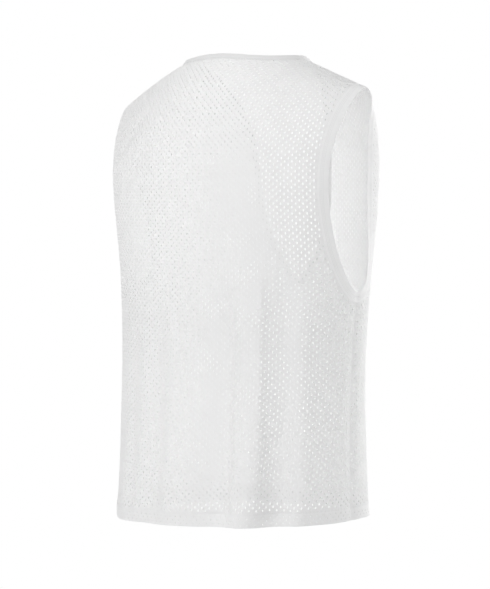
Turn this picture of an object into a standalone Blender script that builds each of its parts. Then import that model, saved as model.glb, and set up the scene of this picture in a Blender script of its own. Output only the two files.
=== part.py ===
"""Training bib: a hollow sleeveless top of even mesh cloth, filled out as when it is worn.

Metres, +Z up. The front faces -Y, so the wearer's right is -X. The origin is in the
middle between the neck points, level with them, where the shoulders hold the bib.
"""

import functools
import math

import bmesh
import bpy
import numpy as np

# Cloth
PANEL_WALL = 0.0012
BINDING_WALL = 0.0020
HEM_WALL = 0.0022
SEAM_GAP = 0.0003
PROUD = 0.0004

# Heights and widths of the cut
HEM_HEIGHT = -0.6680
HEM_BAND = 0.0210
UNDERARM_HEIGHT = -0.3260
ARMHOLE_BAND = 0.0180
NECK_BAND = 0.0080
NECK_LIFT = 0.9

# Neck: half width, middle, and how far down from the ridge it is cut behind and before
NECK_HALF_WIDTH = 0.1080
NECK_Y = 0.0010
NECK_BACK_DROP = 0.0980
NECK_FRONT_DROP = 0.4530
NECK_FRONT_SHIFT = 0.0080

# One row for each place along the front neck's edge: share of the way from the neck point
# to the middle, share of the neck's half width, share of the front drop
NECK_FRONT = (
    (0.00, 1.000, 0.000),
    (0.12, 0.963, 0.126),
    (0.19, 0.917, 0.194),
    (0.30, 0.815, 0.310),
    (0.42, 0.722, 0.432),
    (0.54, 0.676, 0.558),
    (0.65, 0.639, 0.675),
    (0.72, 0.590, 0.742),
    (0.83, 0.435, 0.857),
    (0.92, 0.231, 0.945),
    (0.96, 0.115, 0.986),
    (1.00, 0.000, 1.000),
)

# Shoulder ridge: its outer ends, the right one held a little higher than the left
TIP_HALF_WIDTH = 0.2270
TIP_Y = 0.0130
TIP_HEIGHT = -0.0560
TIP_LEAN = 0.0090
RIDGE_ROUNDING = 0.0650

# The height over which the shoulders round down into the back and into the front
ARCH_BACK = 0.1900
ARCH_FRONT = 0.1600
SIDE_BLEND = 0.2500

# The share of the armhole, from underarm up, from which its line turns to the shoulder tip
TIP_TURN = 0.60

# The hem hangs a little lower on the wearer's left and in front
HEM_TILT_X = -0.0850
HEM_TILT_Y = 0.0350

# One row for each level of the body that the cloth hangs round:
# height, half width, depth and roundness behind, depth and roundness before, side seam's y
LEVELS = (
    (-0.670, 0.206, 0.143, 2.35, 0.145, 2.35, 0.012),
    (-0.560, 0.204, 0.130, 2.35, 0.134, 2.20, 0.011),
    (-0.450, 0.204, 0.121, 2.35, 0.130, 2.05, 0.010),
    (-0.330, 0.209, 0.121, 2.40, 0.134, 2.00, 0.006),
    (-0.220, 0.216, 0.127, 2.50, 0.134, 2.20, 0.005),
    (-0.110, 0.228, 0.130, 2.50, 0.126, 2.30, 0.008),
    (0.040, 0.238, 0.124, 2.50, 0.108, 2.40, 0.010),
)
HALF_WIDTH, BACK_DEPTH, BACK_ROUND, FRONT_DEPTH, FRONT_ROUND, SIDE_Y = 1, 2, 3, 4, 5, 6

# One row for each place along the armhole's free edge: share of the way from underarm to
# shoulder tip, and share of the way from the panel's middle to its side, on each panel
ARMHOLE = (
    (0.00, 1.000, 1.000),
    (0.12, 0.950, 0.940),
    (0.24, 0.890, 0.915),
    (0.36, 0.832, 0.925),
    (0.50, 0.785, 0.958),
    (0.64, 0.764, 0.978),
    (0.78, 0.775, 0.968),
    (0.90, 0.812, 0.860),
    (1.00, 0.830, 0.830),
)

# The folds fade out over this share of a panel beside its side seams
FOLD_FADE = 0.12

# One row for each large fold: panel, place across it, height where it starts,
# how far it goes in (-) or out (+) at the hem, its half width as a share of the panel
BACK, FRONT = 1, -1
FOLDS = (
    (BACK, -0.55, -0.40, -0.0100, 0.085),
    (BACK, -0.38, -0.43, 0.0045, 0.085),
    (BACK, -0.20, -0.45, -0.0100, 0.080),
    (BACK, 0.03, -0.44, 0.0040, 0.110),
    (BACK, 0.26, -0.49, -0.0065, 0.090),
    (BACK, 0.62, -0.47, -0.0060, 0.095),
    (FRONT, -0.68, -0.46, -0.0065, 0.090),
    (FRONT, -0.30, -0.43, -0.0090, 0.085),
    (FRONT, -0.08, -0.45, 0.0045, 0.100),
    (FRONT, 0.14, -0.47, -0.0080, 0.080),
    (FRONT, 0.37, -0.44, 0.0035, 0.090),
    (FRONT, 0.60, -0.49, -0.0070, 0.090),
)

# Faces across and along each piece. The line between the rows below and above the underarm
# dips in the middle of the front, below its neck. Above it a power sets how soon the columns
# fan out towards the neck.
PANEL_COLUMNS = 36
PANEL_ROWS_BELOW = 11
PANEL_ROWS_ABOVE = 17
ROW_CROWDING = 0.85
NECK_COLUMNS = 28
NECK_CROWDING = 0.5
FAN_POWER = 3
FRONT_LINE_DIP = 0.1300
BAND_ROWS = 2
HEM_ROWS = 2
MERGE = 0.00005

# Steps and rounds of the searches on the cloth
NUDGE = 0.001
EDGE_STEP = 0.01
STEP_WITHIN = 0.1
START_WITHIN = 0.98
HEIGHT_ROUNDS = 5
NEAREST_ROUNDS = 7
HALVINGS = 30
TO_MIDDLE = 0.5
TO_SIDE = 1.5

CLOTH_COLOUR = (0.80, 0.80, 0.80, 1.0)
CLOTH_ROUGHNESS = 0.85


def between(table, at, column):
    """The table's smooth value in a column, where its first column is at."""
    if at <= table[0][0]:
        return table[0][column]
    if at >= table[-1][0]:
        return table[-1][column]
    k = 0
    while table[k + 1][0] < at:
        k += 1

    def slope(i):
        low = table[max(i - 1, 0)]
        high = table[min(i + 1, len(table) - 1)]
        return (high[column] - low[column]) / (high[0] - low[0])

    step = table[k + 1][0] - table[k][0]
    t = (at - table[k][0]) / step
    value = (2 * t**3 - 3 * t**2 + 1) * table[k][column]
    value += (3 * t**2 - 2 * t**3) * table[k + 1][column]
    value += (t**3 - 2 * t**2 + t) * step * slope(k)
    value += (t**3 - t**2) * step * slope(k + 1)
    return value


def smooth(t):
    """0 to 1, easing in and out."""
    t = min(max(t, 0.0), 1.0)
    return t * t * (3 - 2 * t)


def quarter_point(angle, width, depth, roundness):
    """A point on a quarter of a rounded oval, from its depth (0) to its width (90 degrees)."""
    power = 2 / roundness
    return width * math.sin(angle) ** power, depth * max(math.cos(angle), 0.0) ** power


@functools.lru_cache(maxsize=None)
def quarter_lengths(width, depth, roundness, steps=60):
    """The running length of that quarter at even steps of its angle."""
    lengths = [0.0]
    last = quarter_point(0.0, width, depth, roundness)
    for i in range(1, steps + 1):
        here = quarter_point(math.pi / 2 * i / steps, width, depth, roundness)
        lengths.append(lengths[-1] + math.dist(last, here))
        last = here
    return lengths


def along_quarter(share, width, depth, roundness):
    """The point at a share of the quarter's own length, and its outward direction."""
    width, depth, roundness = round(width, 5), round(depth, 5), round(roundness, 4)
    lengths = quarter_lengths(width, depth, roundness)
    want = min(max(share, 0.0), 1.0) * lengths[-1]
    k = 0
    while k < len(lengths) - 2 and lengths[k + 1] < want:
        k += 1
    part = (want - lengths[k]) / (lengths[k + 1] - lengths[k])
    angle = math.pi / 2 * (k + part) / (len(lengths) - 1)
    x, y = quarter_point(angle, width, depth, roundness)
    out_x = (x / width) ** (roundness - 1) / width
    out_y = (y / depth) ** (roundness - 1) / depth
    size = math.hypot(out_x, out_y)
    return x, y, out_x / size, out_y / size


def ridge_height(x):
    """Height of the shoulder ridge, which also bounds the neck from below."""
    fall = (TIP_HEIGHT - TIP_LEAN * x / TIP_HALF_WIDTH) / (TIP_HALF_WIDTH - NECK_HALF_WIDTH)
    return fall * (math.hypot(x, RIDGE_ROUNDING) - math.hypot(NECK_HALF_WIDTH, RIDGE_ROUNDING))


def ridge_y(x):
    """The ridge bends slightly backwards from the neck to its tip."""
    return NECK_Y + (TIP_Y - NECK_Y) * (abs(x) / TIP_HALF_WIDTH) ** 3


def fold_depth(panel, across, height):
    """How far the folds push the cloth out at this place. They fade out at the side seams."""
    push = 0.0
    for owner, place, start, depth, half in FOLDS:
        if owner == panel:
            grow = smooth((start - height) / (start - HEM_HEIGHT))
            push += depth * grow * math.exp(-(((across - place) / half) ** 2))
    return push * smooth((1 - abs(across)) / FOLD_FADE)


def level_at(panel, across, height):
    """x, y and outward direction of the body's outline at a height, and the seam's y."""
    width = between(LEVELS, height, HALF_WIDTH)
    depth = between(LEVELS, height, BACK_DEPTH if panel == BACK else FRONT_DEPTH)
    roundness = between(LEVELS, height, BACK_ROUND if panel == BACK else FRONT_ROUND)
    x, y, out_x, out_y = along_quarter(abs(across), width, depth, roundness)
    side = math.copysign(1.0, across)
    return side * x, panel * y, side * out_x, panel * out_y, between(LEVELS, height, SIDE_Y)


def arch(panel):
    return ARCH_BACK if panel == BACK else ARCH_FRONT


def fall_of(panel, down):
    """The drop below the ridge, and the share of full depth, a way down from the ridge."""
    radius = arch(panel)
    if down < radius * math.pi / 2:
        return radius * (1 - math.cos(down / radius)), math.sin(down / radius)
    return radius + down - radius * math.pi / 2, 1.0


def down_to(panel, across, height):
    """The way down from the ridge that reaches a height."""
    radius = arch(panel)
    fall = max(ridge_height(level_at(panel, across, height)[0]) - height, 0.0)
    if fall < radius:
        return radius * math.acos(1 - fall / radius)
    return radius * math.pi / 2 + fall - radius


def cloth(panel, across, down, proud=0.0, apart=SEAM_GAP / 2):
    """A point of the cloth's outer face. across runs from -1 at the right side seam to 1 at
    the left one, and down is the way down from the shoulder ridge. proud lifts the point off
    the panel, and apart keeps the panel from its neighbour across the seams."""
    fall, share = fall_of(panel, down)
    height = -fall
    for _ in range(HEIGHT_ROUNDS):
        x, y, out_x, out_y, side_y = level_at(panel, across, height)
        height = ridge_height(x) - fall
    base = ridge_y(x) + (side_y - ridge_y(x)) * smooth(fall / SIDE_BLEND)
    push = fold_depth(panel, across, height) + proud * share
    place = (x + out_x * push, base + y * share + out_y * push + panel * apart)
    return np.array((*place, height + proud * (1 - share)))


def slopes(panel, across, down):
    """How the cloth's point moves with across, towards the panel's middle, and with down."""
    here = cloth(panel, across, down)
    inward = -math.copysign(NUDGE, across)
    by_across = (cloth(panel, across + inward, down) - here) / inward
    return by_across, (cloth(panel, across, down + NUDGE) - here) / NUDGE


def nearest(panel, goal, across, down):
    """Across and down of the cloth's point nearest to a goal."""
    for _ in range(NEAREST_ROUNDS):
        miss = goal - cloth(panel, across, down)
        step = np.linalg.lstsq(np.array(slopes(panel, across, down)).T, miss, rcond=None)[0]
        across = min(max(across + step[0], -1.0), 1.0)
        down = max(down + step[1], 0.0)
    return across, down


def square_in(panel, edge, way, inner):
    """The direction that lies in the cloth, square to an edge, and points into the panel,
    which lies towards the edge's own across multiplied by inner, and further down."""
    across, down = edge(way)
    by_across, by_down = slopes(panel, across, down)
    ahead, behind = edge(min(way + EDGE_STEP, 1.0)), edge(max(way - EDGE_STEP, 0.0))
    run = cloth(panel, *ahead) - cloth(panel, *behind)
    if down == 0:
        run = by_down
    elif abs(across) == 1:
        run = by_across
    direction = np.cross(np.cross(by_across, by_down), run)
    direction /= np.linalg.norm(direction)
    within = cloth(panel, across * inner, down + STEP_WITHIN) - cloth(panel, across, down)
    return direction if direction @ within > 0 else -direction


def inset(panel, edge, way, width):
    """Across and down of an armhole's point once it is moved into the panel by a width."""
    across, down = edge(way)
    goal = cloth(panel, across, down) + square_in(panel, edge, way, TO_MIDDLE) * width
    across_in, down_in = nearest(panel, goal, across * START_WITHIN, down)
    if abs(across) == 1:
        return across, down_in
    return across_in, down_in if down else 0.0


def at_x(panel, x, down=0.0):
    """Where across the panel the cloth reaches an x, a way down from the ridge."""
    low, high = 0.0, 1.0
    for _ in range(HALVINGS):
        middle = (low + high) / 2
        if abs(cloth(panel, math.copysign(middle, x), down)[0]) < abs(x):
            low = middle
        else:
            high = middle
    return math.copysign(low, x)


def armhole_edge(panel, side):
    """The armhole's free edge, across and down, from underarm (0) to shoulder tip (1)."""
    tip = abs(at_x(panel, side * TIP_HALF_WIDTH))
    bottom = down_to(panel, side, UNDERARM_HEIGHT)

    def edge(way):
        across = between(ARMHOLE, way, 1 if panel == BACK else 2)
        across += (tip - ARMHOLE[-1][1]) * smooth((way - TIP_TURN) / (1 - TIP_TURN))
        return side * across, bottom * math.cos(way * math.pi / 2) if way < 1 else 0.0

    return edge


def neck_edge(panel):
    """The neck's edge, across and down, from the right neck point (0) to the left one (1)."""
    def edge(way):
        if panel == BACK:
            x = NECK_HALF_WIDTH * math.cos(math.pi * way)
            down = NECK_BACK_DROP * math.sin(math.pi * way)
        else:
            inward = 1 - abs(2 * way - 1)
            x = math.copysign(NECK_HALF_WIDTH * between(NECK_FRONT, inward, 1), 0.5 - way)
            x -= NECK_FRONT_SHIFT * math.sin(math.pi * inward)
            down = NECK_FRONT_DROP * between(NECK_FRONT, inward, 2)
        down = down if 0 < way < 1 else 0.0
        return at_x(panel, -x, down), down

    return edge


def neck_way(share):
    """The neck edge's way at an even share of its columns, which crowd towards its middle."""
    side = 2 * share - 1
    inward = 1 - abs(side)
    inward += NECK_CROWDING * (math.sin(math.pi / 2 * inward) - inward)
    return (1 + math.copysign(1 - inward, side)) / 2


def hem_down(panel, across, above=0.0):
    """The way down to a line above the hem, which isn't quite level."""
    height = HEM_HEIGHT + above
    x, y, _ = cloth(panel, across, down_to(panel, across, height))
    return down_to(panel, across, height + HEM_TILT_X * x + HEM_TILT_Y * y)


def armhole_ways():
    """Where the rows above the underarm meet the armhole, closer together at its two ends."""
    shares = [i / PANEL_ROWS_ABOVE for i in range(PANEL_ROWS_ABOVE + 1)]
    return [share - ROW_CROWDING * math.sin(2 * math.pi * share) / (2 * math.pi) for share in shares]


def panel_map(panel):
    """The grid place of each point of a panel, as a function of its row and its column."""
    edges = {side: armhole_edge(panel, side) for side in (-1, 1)}
    neck = neck_edge(panel)
    margin = ARMHOLE_BAND + SEAM_GAP
    sides = {}
    for side, edge in edges.items():
        sides[side] = [inset(panel, edge, way, margin) for way in armhole_ways()]
    neck_share = NECK_COLUMNS / PANEL_COLUMNS
    columns = [2 * i / PANEL_COLUMNS - 1 for i in range(PANEL_COLUMNS + 1)]
    tops = []
    for u in columns:
        if abs(u) <= neck_share:
            tops.append(neck(neck_way((u / neck_share + 1) / 2)))
        else:
            tip = cloth(panel, *sides[math.copysign(1, u)][-1])[0]
            point = math.copysign(NECK_HALF_WIDTH, u)
            x = point + (tip - point) * (abs(u) - neck_share) / (1 - neck_share)
            tops.append((at_x(panel, x), 0.0))

    def place(row, column):
        u = columns[column]
        side = math.copysign(1, u)
        dip = FRONT_LINE_DIP * (1 - u * u) if panel == FRONT else 0.0
        line = down_to(panel, u, UNDERARM_HEIGHT - margin - dip)
        low = hem_down(panel, u, HEM_BAND + SEAM_GAP)
        if row < PANEL_ROWS_BELOW:
            return u, low + (line - low) * row / PANEL_ROWS_BELOW
        edge_across, edge_down = sides[side][row - PANEL_ROWS_BELOW]
        up = 1 - edge_down / sides[side][0][1]
        top_across, top_down = tops[column]
        spread = u + (top_across / abs(sides[side][-1][0]) - u) * up**FAN_POWER
        return abs(edge_across) * spread, line + (top_down - line) * up

    return place


# Build in Blender

def material(name):
    """A part's own matt white cloth."""
    made = bpy.data.materials.new(name)
    made.use_nodes = True
    shader = made.node_tree.nodes["Principled BSDF"]
    shader.inputs["Base Color"].default_value = CLOTH_COLOUR
    shader.inputs["Roughness"].default_value = CLOTH_ROUGHNESS
    shader.inputs["Metallic"].default_value = 0.0
    return made


def sheet(name, columns, rows, point, wall, loop=False):
    """A grid bent to its points, outer face first, and given its wall on the inside."""
    mesh = bpy.data.meshes.new(name)
    shape = bmesh.new()
    bmesh.ops.create_grid(shape, x_segments=columns, y_segments=rows, size=0.5)
    for vertex in shape.verts:
        column = round((vertex.co.x + 0.5) * columns)
        row = round((vertex.co.y + 0.5) * rows)
        vertex.co = point(column, row)
    if loop:
        bmesh.ops.remove_doubles(shape, verts=shape.verts, dist=MERGE)
    shape.to_mesh(mesh)
    shape.free()
    mesh.shade_smooth()
    piece = bpy.data.objects.new(name, mesh)
    solid = piece.modifiers.new("Wall", "SOLIDIFY")
    solid.thickness = wall
    solid.offset = -1.0
    solid.use_even_offset = True
    mesh.materials.append(material(name + "_cloth"))
    return piece


def make_panel(name, panel):
    place = panel_map(panel)

    def point(column, row):
        if panel == BACK:
            column = PANEL_COLUMNS - column
        return cloth(panel, *place(row, column))

    return sheet(name, PANEL_COLUMNS, PANEL_ROWS_BELOW + PANEL_ROWS_ABOVE, point, PANEL_WALL)


def make_hem(name, panel):
    """The turned hem band below a panel."""
    def point(column, row):
        across = -panel * (2 * column / PANEL_COLUMNS - 1)
        above = HEM_BAND * row / HEM_ROWS
        return cloth(panel, across, hem_down(panel, across, above), PROUD)

    return sheet(name, PANEL_COLUMNS, HEM_ROWS, point, HEM_WALL)


def make_armhole_band(name, side):
    """One closed ring round an armhole, from shoulder tip to underarm and back."""
    ways = armhole_ways()
    edges = {panel: armhole_edge(panel, side) for panel in (BACK, FRONT)}

    def point(column, row):
        step = column - PANEL_ROWS_ABOVE
        panel = BACK if step * side > 0 else FRONT
        way = ways[abs(step)]
        across, down = edges[panel](way)
        if row:
            across, down = inset(panel, edges[panel], way, ARMHOLE_BAND * row / BAND_ROWS)
        return cloth(panel, across, down, PROUD, apart=0.0)

    return sheet(name, 2 * PANEL_ROWS_ABOVE, BAND_ROWS, point, BINDING_WALL, loop=True)


def make_neck_band(name):
    """One closed ring that stands on the neck's edge and leans in."""
    edges = {panel: neck_edge(panel) for panel in (BACK, FRONT)}

    def point(column, row):
        step = column / NECK_COLUMNS
        panel = FRONT if step <= 1 else BACK
        way = neck_way(step if step <= 1 else 2 - step)
        across, down = edges[panel](way)
        face = np.cross(*slopes(panel, across, down))
        level = (face[2] / np.linalg.norm(face)) ** 2
        lean = np.array((0.0, 0.0, NECK_LIFT * level))
        lean -= square_in(panel, edges[panel], way, TO_SIDE)
        lean /= np.linalg.norm(lean)
        start = cloth(panel, across, down, PROUD, apart=0.0)
        return start + lean * (SEAM_GAP + NECK_BAND * row)

    return sheet(name, 2 * NECK_COLUMNS, 1, point, BINDING_WALL, loop=True)


for old in list(bpy.data.objects):
    bpy.data.objects.remove(old, do_unlink=True)

parts = bpy.data.collections.new("Training bib")
bpy.context.scene.collection.children.link(parts)
pieces = (
    make_panel("back_panel", BACK),
    make_panel("front_panel", FRONT),
    make_hem("hem_back", BACK),
    make_hem("hem_front", FRONT),
    make_armhole_band("armhole_band_right", -1),
    make_armhole_band("armhole_band_left", 1),
    make_neck_band("neck_band"),
)
for piece in pieces:
    parts.objects.link(piece)
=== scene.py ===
"""Training bib of white mesh cloth, filled out as when it is worn, with nothing inside it.

Metres, +Z up. The front faces -Y, so the wearer's right is -X. The origin is in the
middle between the neck points, level with them, where the shoulders hold the bib.
"""

import math
import random

import bpy
import numpy as np
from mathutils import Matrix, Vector, geometry


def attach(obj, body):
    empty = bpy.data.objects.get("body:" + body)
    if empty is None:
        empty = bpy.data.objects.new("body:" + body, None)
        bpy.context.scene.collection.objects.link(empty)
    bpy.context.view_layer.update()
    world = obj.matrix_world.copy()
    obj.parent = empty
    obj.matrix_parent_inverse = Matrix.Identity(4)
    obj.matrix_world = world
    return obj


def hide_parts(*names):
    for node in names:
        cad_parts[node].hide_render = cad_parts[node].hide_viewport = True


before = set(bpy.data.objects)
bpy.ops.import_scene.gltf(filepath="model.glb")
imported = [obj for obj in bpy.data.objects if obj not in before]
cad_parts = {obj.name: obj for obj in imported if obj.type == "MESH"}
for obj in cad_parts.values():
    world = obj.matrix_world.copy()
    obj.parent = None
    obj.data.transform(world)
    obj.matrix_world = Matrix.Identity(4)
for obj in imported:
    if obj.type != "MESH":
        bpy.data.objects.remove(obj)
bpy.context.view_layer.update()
bpy.ops.object.select_all(action="DESELECT")

# BACK PANEL
# The back is one piece of knitted mesh, cut from the shoulder seams to the hem. The knit
# leaves rows of small upright holes, each set between two of the next column. It hangs
# round the body from the shoulder ridge, with soft folds that start at the waist.

BACK, FRONT = 1, -1

# One row for each level of the body that the cloth hangs round:
# height, half width, depth and roundness behind, depth and roundness before, side seam's y
LEVELS = np.array((
    (-0.670, 0.206, 0.143, 2.35, 0.145, 2.35, 0.012),
    (-0.560, 0.204, 0.130, 2.35, 0.134, 2.20, 0.011),
    (-0.450, 0.204, 0.121, 2.35, 0.130, 2.05, 0.010),
    (-0.330, 0.209, 0.121, 2.40, 0.134, 2.00, 0.006),
    (-0.220, 0.216, 0.127, 2.50, 0.134, 2.20, 0.005),
    (-0.110, 0.228, 0.130, 2.50, 0.126, 2.30, 0.008),
    (0.040, 0.238, 0.124, 2.50, 0.108, 2.40, 0.010),
))
HALF_WIDTH, BACK_DEPTH, BACK_ROUND, FRONT_DEPTH, FRONT_ROUND, SIDE_Y = 1, 2, 3, 4, 5, 6

# The shoulder ridge, from the neck point to its outer end, and how the cloth rounds over it
NECK_HALF_WIDTH = 0.1080
NECK_Y = 0.0010
TIP_HALF_WIDTH = 0.2270
TIP_Y = 0.0130
TIP_HEIGHT = -0.0560
TIP_LEAN = 0.0090
RIDGE_ROUNDING = 0.0650
ARCH = {BACK: 0.1900, FRONT: 0.1600}
SIDE_BLEND = 0.2500

# One row for each large fold: panel, place across it, height where it starts,
# how far it goes in (-) or out (+) at the hem, its half width as a share of the panel.
# The hem's stitches take back a part of each fold, from a little above them
HEM_HEIGHT = -0.6680
FOLD_FADE = 0.12
HEM_HOLD = 0.45
HELD_ABOVE = 0.030
HELD_EASE = 0.022
FOLDS = (
    (BACK, -0.55, -0.40, -0.0100, 0.085),
    (BACK, -0.38, -0.43, 0.0045, 0.085),
    (BACK, -0.20, -0.45, -0.0100, 0.080),
    (BACK, 0.03, -0.44, 0.0040, 0.110),
    (BACK, 0.26, -0.49, -0.0065, 0.090),
    (BACK, 0.62, -0.47, -0.0060, 0.095),
    (FRONT, -0.68, -0.46, -0.0065, 0.090),
    (FRONT, -0.30, -0.43, -0.0090, 0.085),
    (FRONT, -0.08, -0.45, 0.0045, 0.100),
    (FRONT, 0.14, -0.47, -0.0080, 0.080),
    (FRONT, 0.37, -0.44, 0.0035, 0.090),
    (FRONT, 0.60, -0.49, -0.0070, 0.090),
)

# One row for each finer crease, in millimetres: panel, x and height of its two ends, half
# width, the share of it on the side that is the wearer's right when it runs down, and depth.
# They are drag lines from the shoulders and armholes, and slack between waist and hem
CREASE_START = 0.25
CREASE_END = 0.12
MILLIMETRES = np.array((1e-3, 1e-3, 1e-3, 1e-3, 1e-3, 1.0, 1e-3))
CREASES = (
    (BACK, -90, -75, -165, -165, 7.5, 1, -2.2),
    (BACK, -120, -80, -180, -140, 6, 1, 1.6),
    (BACK, -100, -125, -180, -205, 7, 1, -2),
    (BACK, 85, -60, 160, -135, 8, 1, -2),
    (BACK, 110, -110, 190, -170, 6.5, 1, 1.5),
    (BACK, 60, -100, 150, -200, 9, 1, -1.6),
    (BACK, -166, -98, -182, -112, 2.8, 1, 0.9),
    (BACK, -168, -108, -184, -124, 2.6, 1, 1),
    (BACK, -171, -120, -186, -136, 2.7, 1, 0.9),
    (BACK, -173, -131, -187, -149, 2.6, 1, 1),
    (BACK, -174, -145, -188, -162, 2.8, 1, 0.8),
    (BACK, -20, -70, -4, -92, 3, 1, 0.8),
    (BACK, -8, -76, 10, -98, 2.8, 1, 0.9),
    (BACK, 150, -60, 186, -84, 3, 1, 0.9),
    (BACK, 140, -70, 182, -98, 3.2, 1, 1),
    (BACK, 146, -88, 190, -114, 3, 1, 0.8),
    (BACK, -66, -300, -80, -672, 22, 0.45, -9),
    (BACK, -95, -290, -112, -672, 14, 1, 3.2),
    (BACK, -119, -260, -126, -672, 12, 0.5, 4.2),
    (BACK, -150, -260, -158, -672, 20, 0.8, -7),
    (BACK, 66, -330, 46, -672, 18, 0.7, -4.8),
    (BACK, 34, -340, 20, -672, 11, 1, 2.2),
    (BACK, 2, -300, -12, -672, 17, 0.8, 3),
    (BACK, 122, -380, 108, -672, 12, 1, -3.4),
    (BACK, 96, -360, 84, -668, 10, 1, 2),
    (BACK, -186, -340, -192, -672, 8, 1, -2.8),
    (BACK, -98, -160, -104, -420, 12, 1, 1.6),
    (BACK, 20, -420, -30, -470, 8, 1, -1),
    (BACK, 60, -560, 10, -610, 7, 1, -1),
    (BACK, -165, -500, -130, -560, 7, 1, -1),
    (FRONT, -110, -70, -180, -150, 7.5, 1, -2.2),
    (FRONT, -90, -200, -175, -275, 8.5, 1, -2),
    (FRONT, 105, -80, 185, -160, 7, 1, -2),
    (FRONT, 95, -210, 180, -290, 8, 1, 1.8),
    (FRONT, -150, -320, -162, -672, 15, 0.6, -5.6),
    (FRONT, -118, -350, -126, -672, 11, 1, 2.6),
    (FRONT, -70, -300, -86, -672, 19, 0.4, -6.6),
    (FRONT, -46, -340, -50, -672, 11, 1, 2.8),
    (FRONT, 30, -330, 42, -672, 16, 1.6, -5.8),
    (FRONT, 68, -300, 76, -672, 11, 1, 2.8),
    (FRONT, 128, -340, 140, -672, 13, 1.4, -5),
    (FRONT, 0, -390, -10, -668, 13, 1, 2),
    (FRONT, 172, -330, 180, -668, 8, 1, -2.8),
    (FRONT, -100, -450, -60, -500, 8, 1, -1.1),
    (FRONT, 90, -520, 50, -570, 7, 1, -1.2),
)


def between(table, at, column):
    """A table's smooth value in a column, where its first column is at."""
    keys, values = table[:, 0], table[:, column]
    rows = np.arange(len(keys))
    low, high = np.maximum(rows - 1, 0), np.minimum(rows + 1, len(keys) - 1)
    slope = (values[high] - values[low]) / (keys[high] - keys[low])
    at = np.clip(at, keys[0], keys[-1])
    k = np.clip(np.searchsorted(keys, at) - 1, 0, len(keys) - 2)
    step = keys[k + 1] - keys[k]
    t = (at - keys[k]) / step
    value = (2 * t**3 - 3 * t**2 + 1) * values[k] + (3 * t**2 - 2 * t**3) * values[k + 1]
    return value + step * ((t**3 - 2 * t**2 + t) * slope[k] + (t**3 - t**2) * slope[k + 1])


def smooth(t):
    """0 to 1, easing in and out."""
    t = np.clip(t, 0.0, 1.0)
    return t * t * (3 - 2 * t)


def along_quarter(share, width, depth, roundness, steps=60):
    """The point at a share of a rounded oval's quarter, by length, and its outward way."""
    angles = np.linspace(0, math.pi / 2, steps + 1)
    power = (2 / roundness)[..., None]
    xs = width[..., None] * np.sin(angles) ** power
    ys = depth[..., None] * np.maximum(np.cos(angles), 0.0) ** power
    runs = np.cumsum(np.hypot(np.diff(xs), np.diff(ys)), axis=-1)
    runs = np.concatenate((np.zeros_like(runs[..., :1]), runs), axis=-1)
    want = np.clip(share, 0.0, 1.0) * runs[..., -1]
    k = np.minimum((runs[..., 1:] < want[..., None]).sum(axis=-1), steps - 1)[..., None]
    start = np.take_along_axis(runs, k, -1)[..., 0]
    end = np.take_along_axis(runs, k + 1, -1)[..., 0]
    angle = math.pi / 2 * (k[..., 0] + (want - start) / (end - start)) / steps
    x = width * np.sin(angle) ** power[..., 0]
    y = depth * np.maximum(np.cos(angle), 0.0) ** power[..., 0]
    out_x = (x / width) ** (roundness - 1) / width
    out_y = (y / depth) ** (roundness - 1) / depth
    size = np.hypot(out_x, out_y)
    return x, y, out_x / size, out_y / size


def ridge_height(x):
    """Height of the shoulder ridge."""
    fall = (TIP_HEIGHT - TIP_LEAN * x / TIP_HALF_WIDTH) / (TIP_HALF_WIDTH - NECK_HALF_WIDTH)
    return fall * (np.hypot(x, RIDGE_ROUNDING) - math.hypot(NECK_HALF_WIDTH, RIDGE_ROUNDING))


def ridge_y(x):
    """The ridge bends slightly backwards from the neck to its tip."""
    return NECK_Y + (TIP_Y - NECK_Y) * (np.abs(x) / TIP_HALF_WIDTH) ** 3


def crease_depth(panel, x, height):
    """How far the finer creases push the cloth out here, each deepest in its middle."""
    push = 0.0
    for owner, *row in CREASES:
        if owner == panel:
            x0, z0, x1, z1, half, share, depth = np.array(row) * MILLIMETRES
            length = math.hypot(x1 - x0, z1 - z0)
            along = ((x - x0) * (x1 - x0) + (height - z0) * (z1 - z0)) / length**2
            aside = ((x - x0) * (z1 - z0) - (height - z0) * (x1 - x0)) / length
            fade = smooth(along / CREASE_START) * smooth((1 - along) / CREASE_END)
            aside = aside / np.where(aside > 0, half * share, half)
            push = push + depth * fade * np.exp(-(aside**2))
    return push


def fold_depth(panel, across, x, height):
    """How far folds and creases push the cloth out. They fade out at the side seams."""
    push = crease_depth(panel, x, height)
    held = 1 - HEM_HOLD * smooth((HEM_HEIGHT + HELD_ABOVE - height) / HELD_EASE)
    for owner, place, start, depth, half in FOLDS:
        if owner == panel:
            grow = smooth((start - height) / (start - HEM_HEIGHT))
            push = push + depth * held * grow * np.exp(-(((across - place) / half) ** 2))
    return push * smooth((1 - np.abs(across)) / FOLD_FADE)


# The two panels are sewn right up to each other, and the stitches pull the seams in a
# little, unevenly. Below the armholes each side seam lies in a soft valley
SEAM_DIP = 0.0008
SEAM_WAVES = ((0.35, 0.031, 0.0), (0.25, 0.0112, 1.0))
SIDE_SEAM_HALF = 0.016
SHOULDER_SEAM_HALF = 0.0040
PUCKER_DEPTH = 0.0004
PUCKER_LENGTH = 0.0130
PUCKER_SPREAD = 2.2
VALLEY_DIP = 0.0022
VALLEY_SPREAD = 2.4
VALLEY_TOP = -0.33
VALLEY_START = 0.06
VALLEY_END = 0.04
PUSH_START = 0.3


def pulled_in(along, off):
    """How far the stitches of a seam pull the cloth in, at a place along it and off it."""
    uneven = 1.0
    for share, length, turn in SEAM_WAVES:
        uneven = uneven + share * np.sin(along / length + turn)
    pucker = PUCKER_DEPTH * uneven * np.sin(2 * math.pi * along / PUCKER_LENGTH)
    pucker = pucker * np.exp(-((off / PUCKER_SPREAD) ** 2))
    return SEAM_DIP * uneven * np.exp(-(off**2)) + pucker


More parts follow.
